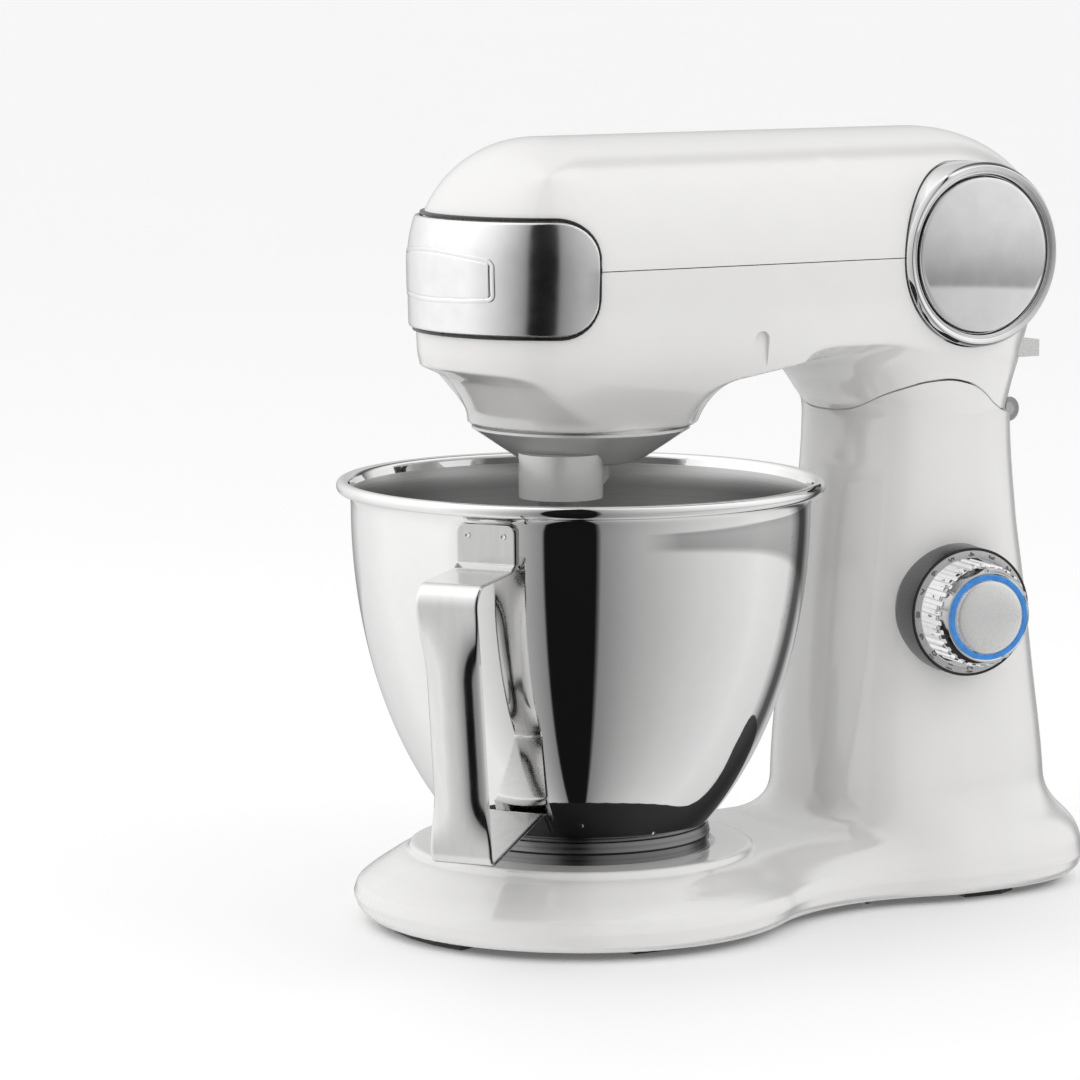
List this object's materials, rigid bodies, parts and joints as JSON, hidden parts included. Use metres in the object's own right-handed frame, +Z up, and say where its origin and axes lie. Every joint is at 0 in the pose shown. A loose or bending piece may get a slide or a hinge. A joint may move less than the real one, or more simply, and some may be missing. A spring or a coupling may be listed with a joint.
{
  "type": "stand mixer",
  "caption": "Tilt-head stand mixer with a planetary drive, a steel bowl with a strip handle, a front drive outlet and a lit speed dial.",
  "frame": {"origin": "on the surface the mixer stands on, under the axis of the bowl and the planetary drive", "axes": "+Z up, -Y towards the nose, +X towards the speed dial"},
  "size_m": [0.2224, 0.3926, 0.359],
  "materials": {
    "enamel": "gloss",
    "chrome": "mirror",
    "bowl_steel": "polished outside, brushed inside",
    "dark_steel": "satin",
    "steel": "machined",
    "cast_alloy": "as cast",
    "rubber": "matt",
    "black_plastic": "matt",
    "brass": "machined",
    "copper": "lacquered windings",
    "nylon": "moulded",
    "silver_paint": "satin",
    "blue_light": "glowing light guide",
    "board": "solder resist"
  },
  "bodies": {
    "stand": {"base_casting": "enamel", "base_bottom_plate": "black_plastic", "rubber_feet": "rubber", "base_plate_screws": "steel", "bowl_lock_plate": "steel", "lock_plate_screws": "steel", "hinge_bracket": "cast_alloy", "hinge_pin": "steel", "bracket_screws": "steel", "latch_striker": "steel", "dial_bezel": "chrome", "dial_encoder": "black_plastic", "control_board": "board", "power_supply": "nylon", "cord_gland": "rubber"},
    "head": {"head_casing": "enamel", "head_top_cover": "enamel", "cover_screws": "steel", "band_gasket": "rubber", "side_disc_rings": "chrome", "side_discs": "chrome", "gear_frame": "cast_alloy", "gear_frame_screws": "steel", "ring_gear": "steel", "motor_can": "steel", "motor_magnets": "dark_steel", "motor_end_bells": "cast_alloy", "brush_holders": "brass", "shaft_bearings": "steel", "carrier_bearings": "steel", "outlet_socket": "steel", "tail_bracket": "cast_alloy", "hinge_bushes": "brass", "lever_spring": "steel"},
    "latch": {"release_lever": "silver_paint", "latch_shaft": "steel", "latch_pawl": "steel"},
    "rotor": {"rotor_shaft": "steel", "armature": "copper", "commutator": "copper", "cooling_fan": "nylon"},
    "idler": {"idler_shaft": "steel", "idler_gears": "nylon"},
    "main_drive": {"main_shaft": "steel", "main_gear": "steel", "bevel_pinion": "steel"},
    "carrier": {"planet_carrier": "silver_paint", "carrier_shaft": "steel", "bevel_gear": "steel"},
    "beater": {"beater_shaft": "steel", "beater_pinion": "steel"},
    "dial": {"speed_dial": "chrome", "dial_light_ring": "blue_light", "dial_cap": "silver_paint"},
    "cover": {"outlet_cover": "chrome"},
    "bowl": {"bowl": "bowl_steel", "bowl_foot_ring": "dark_steel", "bowl_handle": "bowl_steel"}
  },
  "joints": [
    {"name": "head_tilt", "type": "hinge", "parent": "stand", "child": "head", "pos_m": [0, 0.224, 0.225], "axis": [-1, 0, 0], "range_deg": [0, 45]},
    {"name": "latch_release", "type": "hinge", "parent": "head", "child": "latch", "pos_m": [0, 0.214, 0.252], "axis": [-1, 0, 0], "range_deg": [0, 8], "stiffness_Nm_per_rad": 0.6},
    {"name": "carrier_spin", "type": "hinge", "parent": "head", "child": "carrier", "pos_m": [0, 0, 0.25], "axis": [0, 0, 1], "continuous": true},
    {"name": "beater_spin", "type": "hinge", "parent": "carrier", "child": "beater", "pos_m": [0.01731, -0.02137, 0.2], "axis": [0, 0, 1], "continuous": true},
    {"name": "main_shaft_spin", "type": "hinge", "parent": "head", "child": "main_drive", "pos_m": [0, 0, 0.29713], "axis": [0, 1, 0], "continuous": true},
    {"name": "idler_spin", "type": "hinge", "parent": "head", "child": "idler", "pos_m": [0.022, 0.1, 0.31932], "axis": [0, 1, 0], "continuous": true},
    {"name": "rotor_spin", "type": "hinge", "parent": "head", "child": "rotor", "pos_m": [0, 0.15, 0.302], "axis": [0, 1, 0], "continuous": true},
    {"name": "dial_turn", "type": "hinge", "parent": "stand", "child": "dial", "pos_m": [0.065, 0.1727, 0.1367], "axis": [0.9848, -0.1736, 0], "range_deg": [-300, 0]},
    {"name": "outlet_cover_pull", "type": "slide", "parent": "head", "child": "cover", "axis": [0, -1, 0], "range_m": [0, 0.12]},
    {"name": "bowl_twist", "type": "hinge", "parent": "stand", "child": "bowl", "pos_m": [0, 0, 0.04], "axis": [0, 0, 1], "range_deg": [0, 22]}
  ],
  "couplings": [
    {"joint": "beater_spin", "follows": "carrier_spin", "ratio": -3.75},
    {"joint": "main_shaft_spin", "follows": "carrier_spin", "ratio": 2},
    {"joint": "idler_spin", "follows": "carrier_spin", "ratio": -5.1429},
    {"joint": "rotor_spin", "follows": "carrier_spin", "ratio": 18.857}
  ]
}
